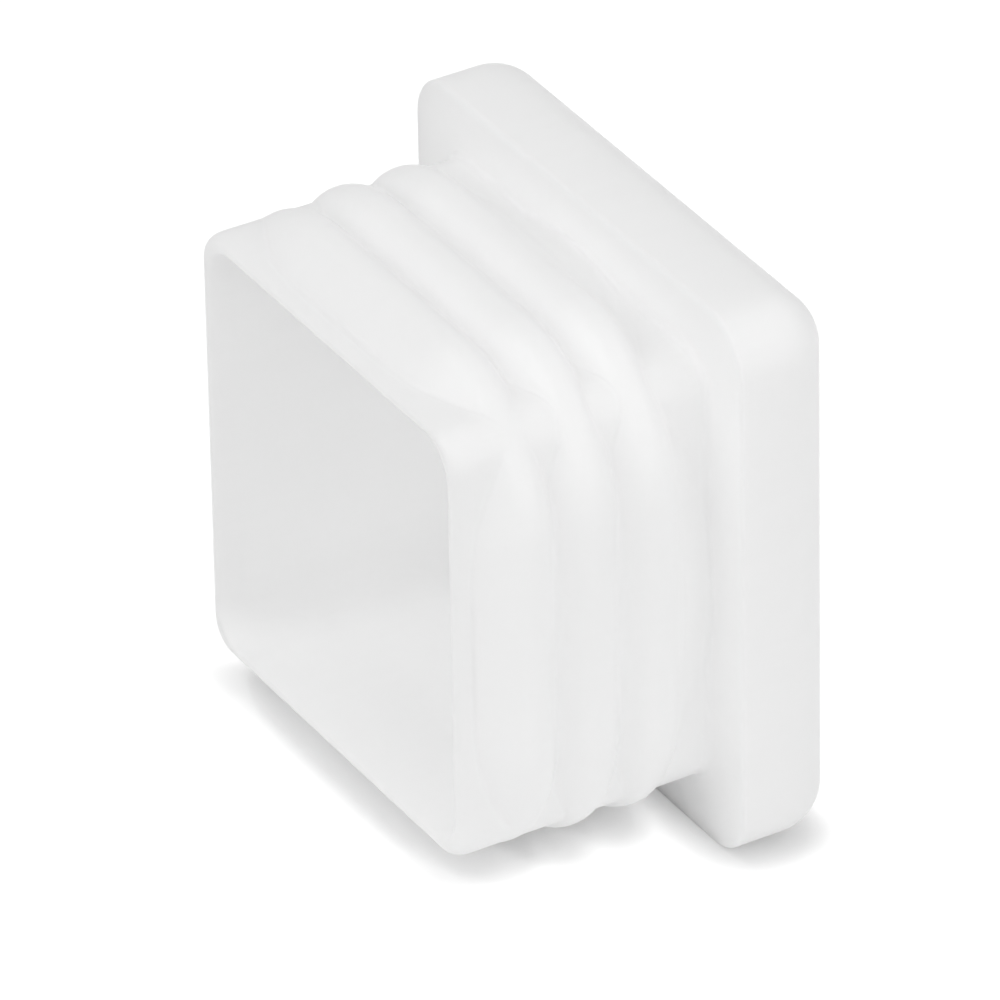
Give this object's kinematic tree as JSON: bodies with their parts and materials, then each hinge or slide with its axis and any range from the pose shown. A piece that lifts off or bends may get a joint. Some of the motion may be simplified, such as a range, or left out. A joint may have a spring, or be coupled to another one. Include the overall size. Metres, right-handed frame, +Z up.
{
  "type": "square tube end cap",
  "caption": "Square plug-in end cap for a square tube: a hollow shank with gripping ribs, and a thick flat head with rounded edges that covers the tube's end.",
  "frame": {"origin": "on the tube's axis, in the plane of the shoulder where the tube's end seats", "axes": "+X along the tube's axis out of the tube, towards the head's outer face, so that the shank's open mouth looks to -X; +Z up, with the head's flat sides facing +Y, -Y, +Z and -Z"},
  "size_m": [0.0195, 0.03, 0.03],
  "materials": {
    "body": "off-white moulded plastic with a soft satin surface"
  },
  "bodies": {
    "root": {"end_cap": "body"}
  },
  "joints": []
}
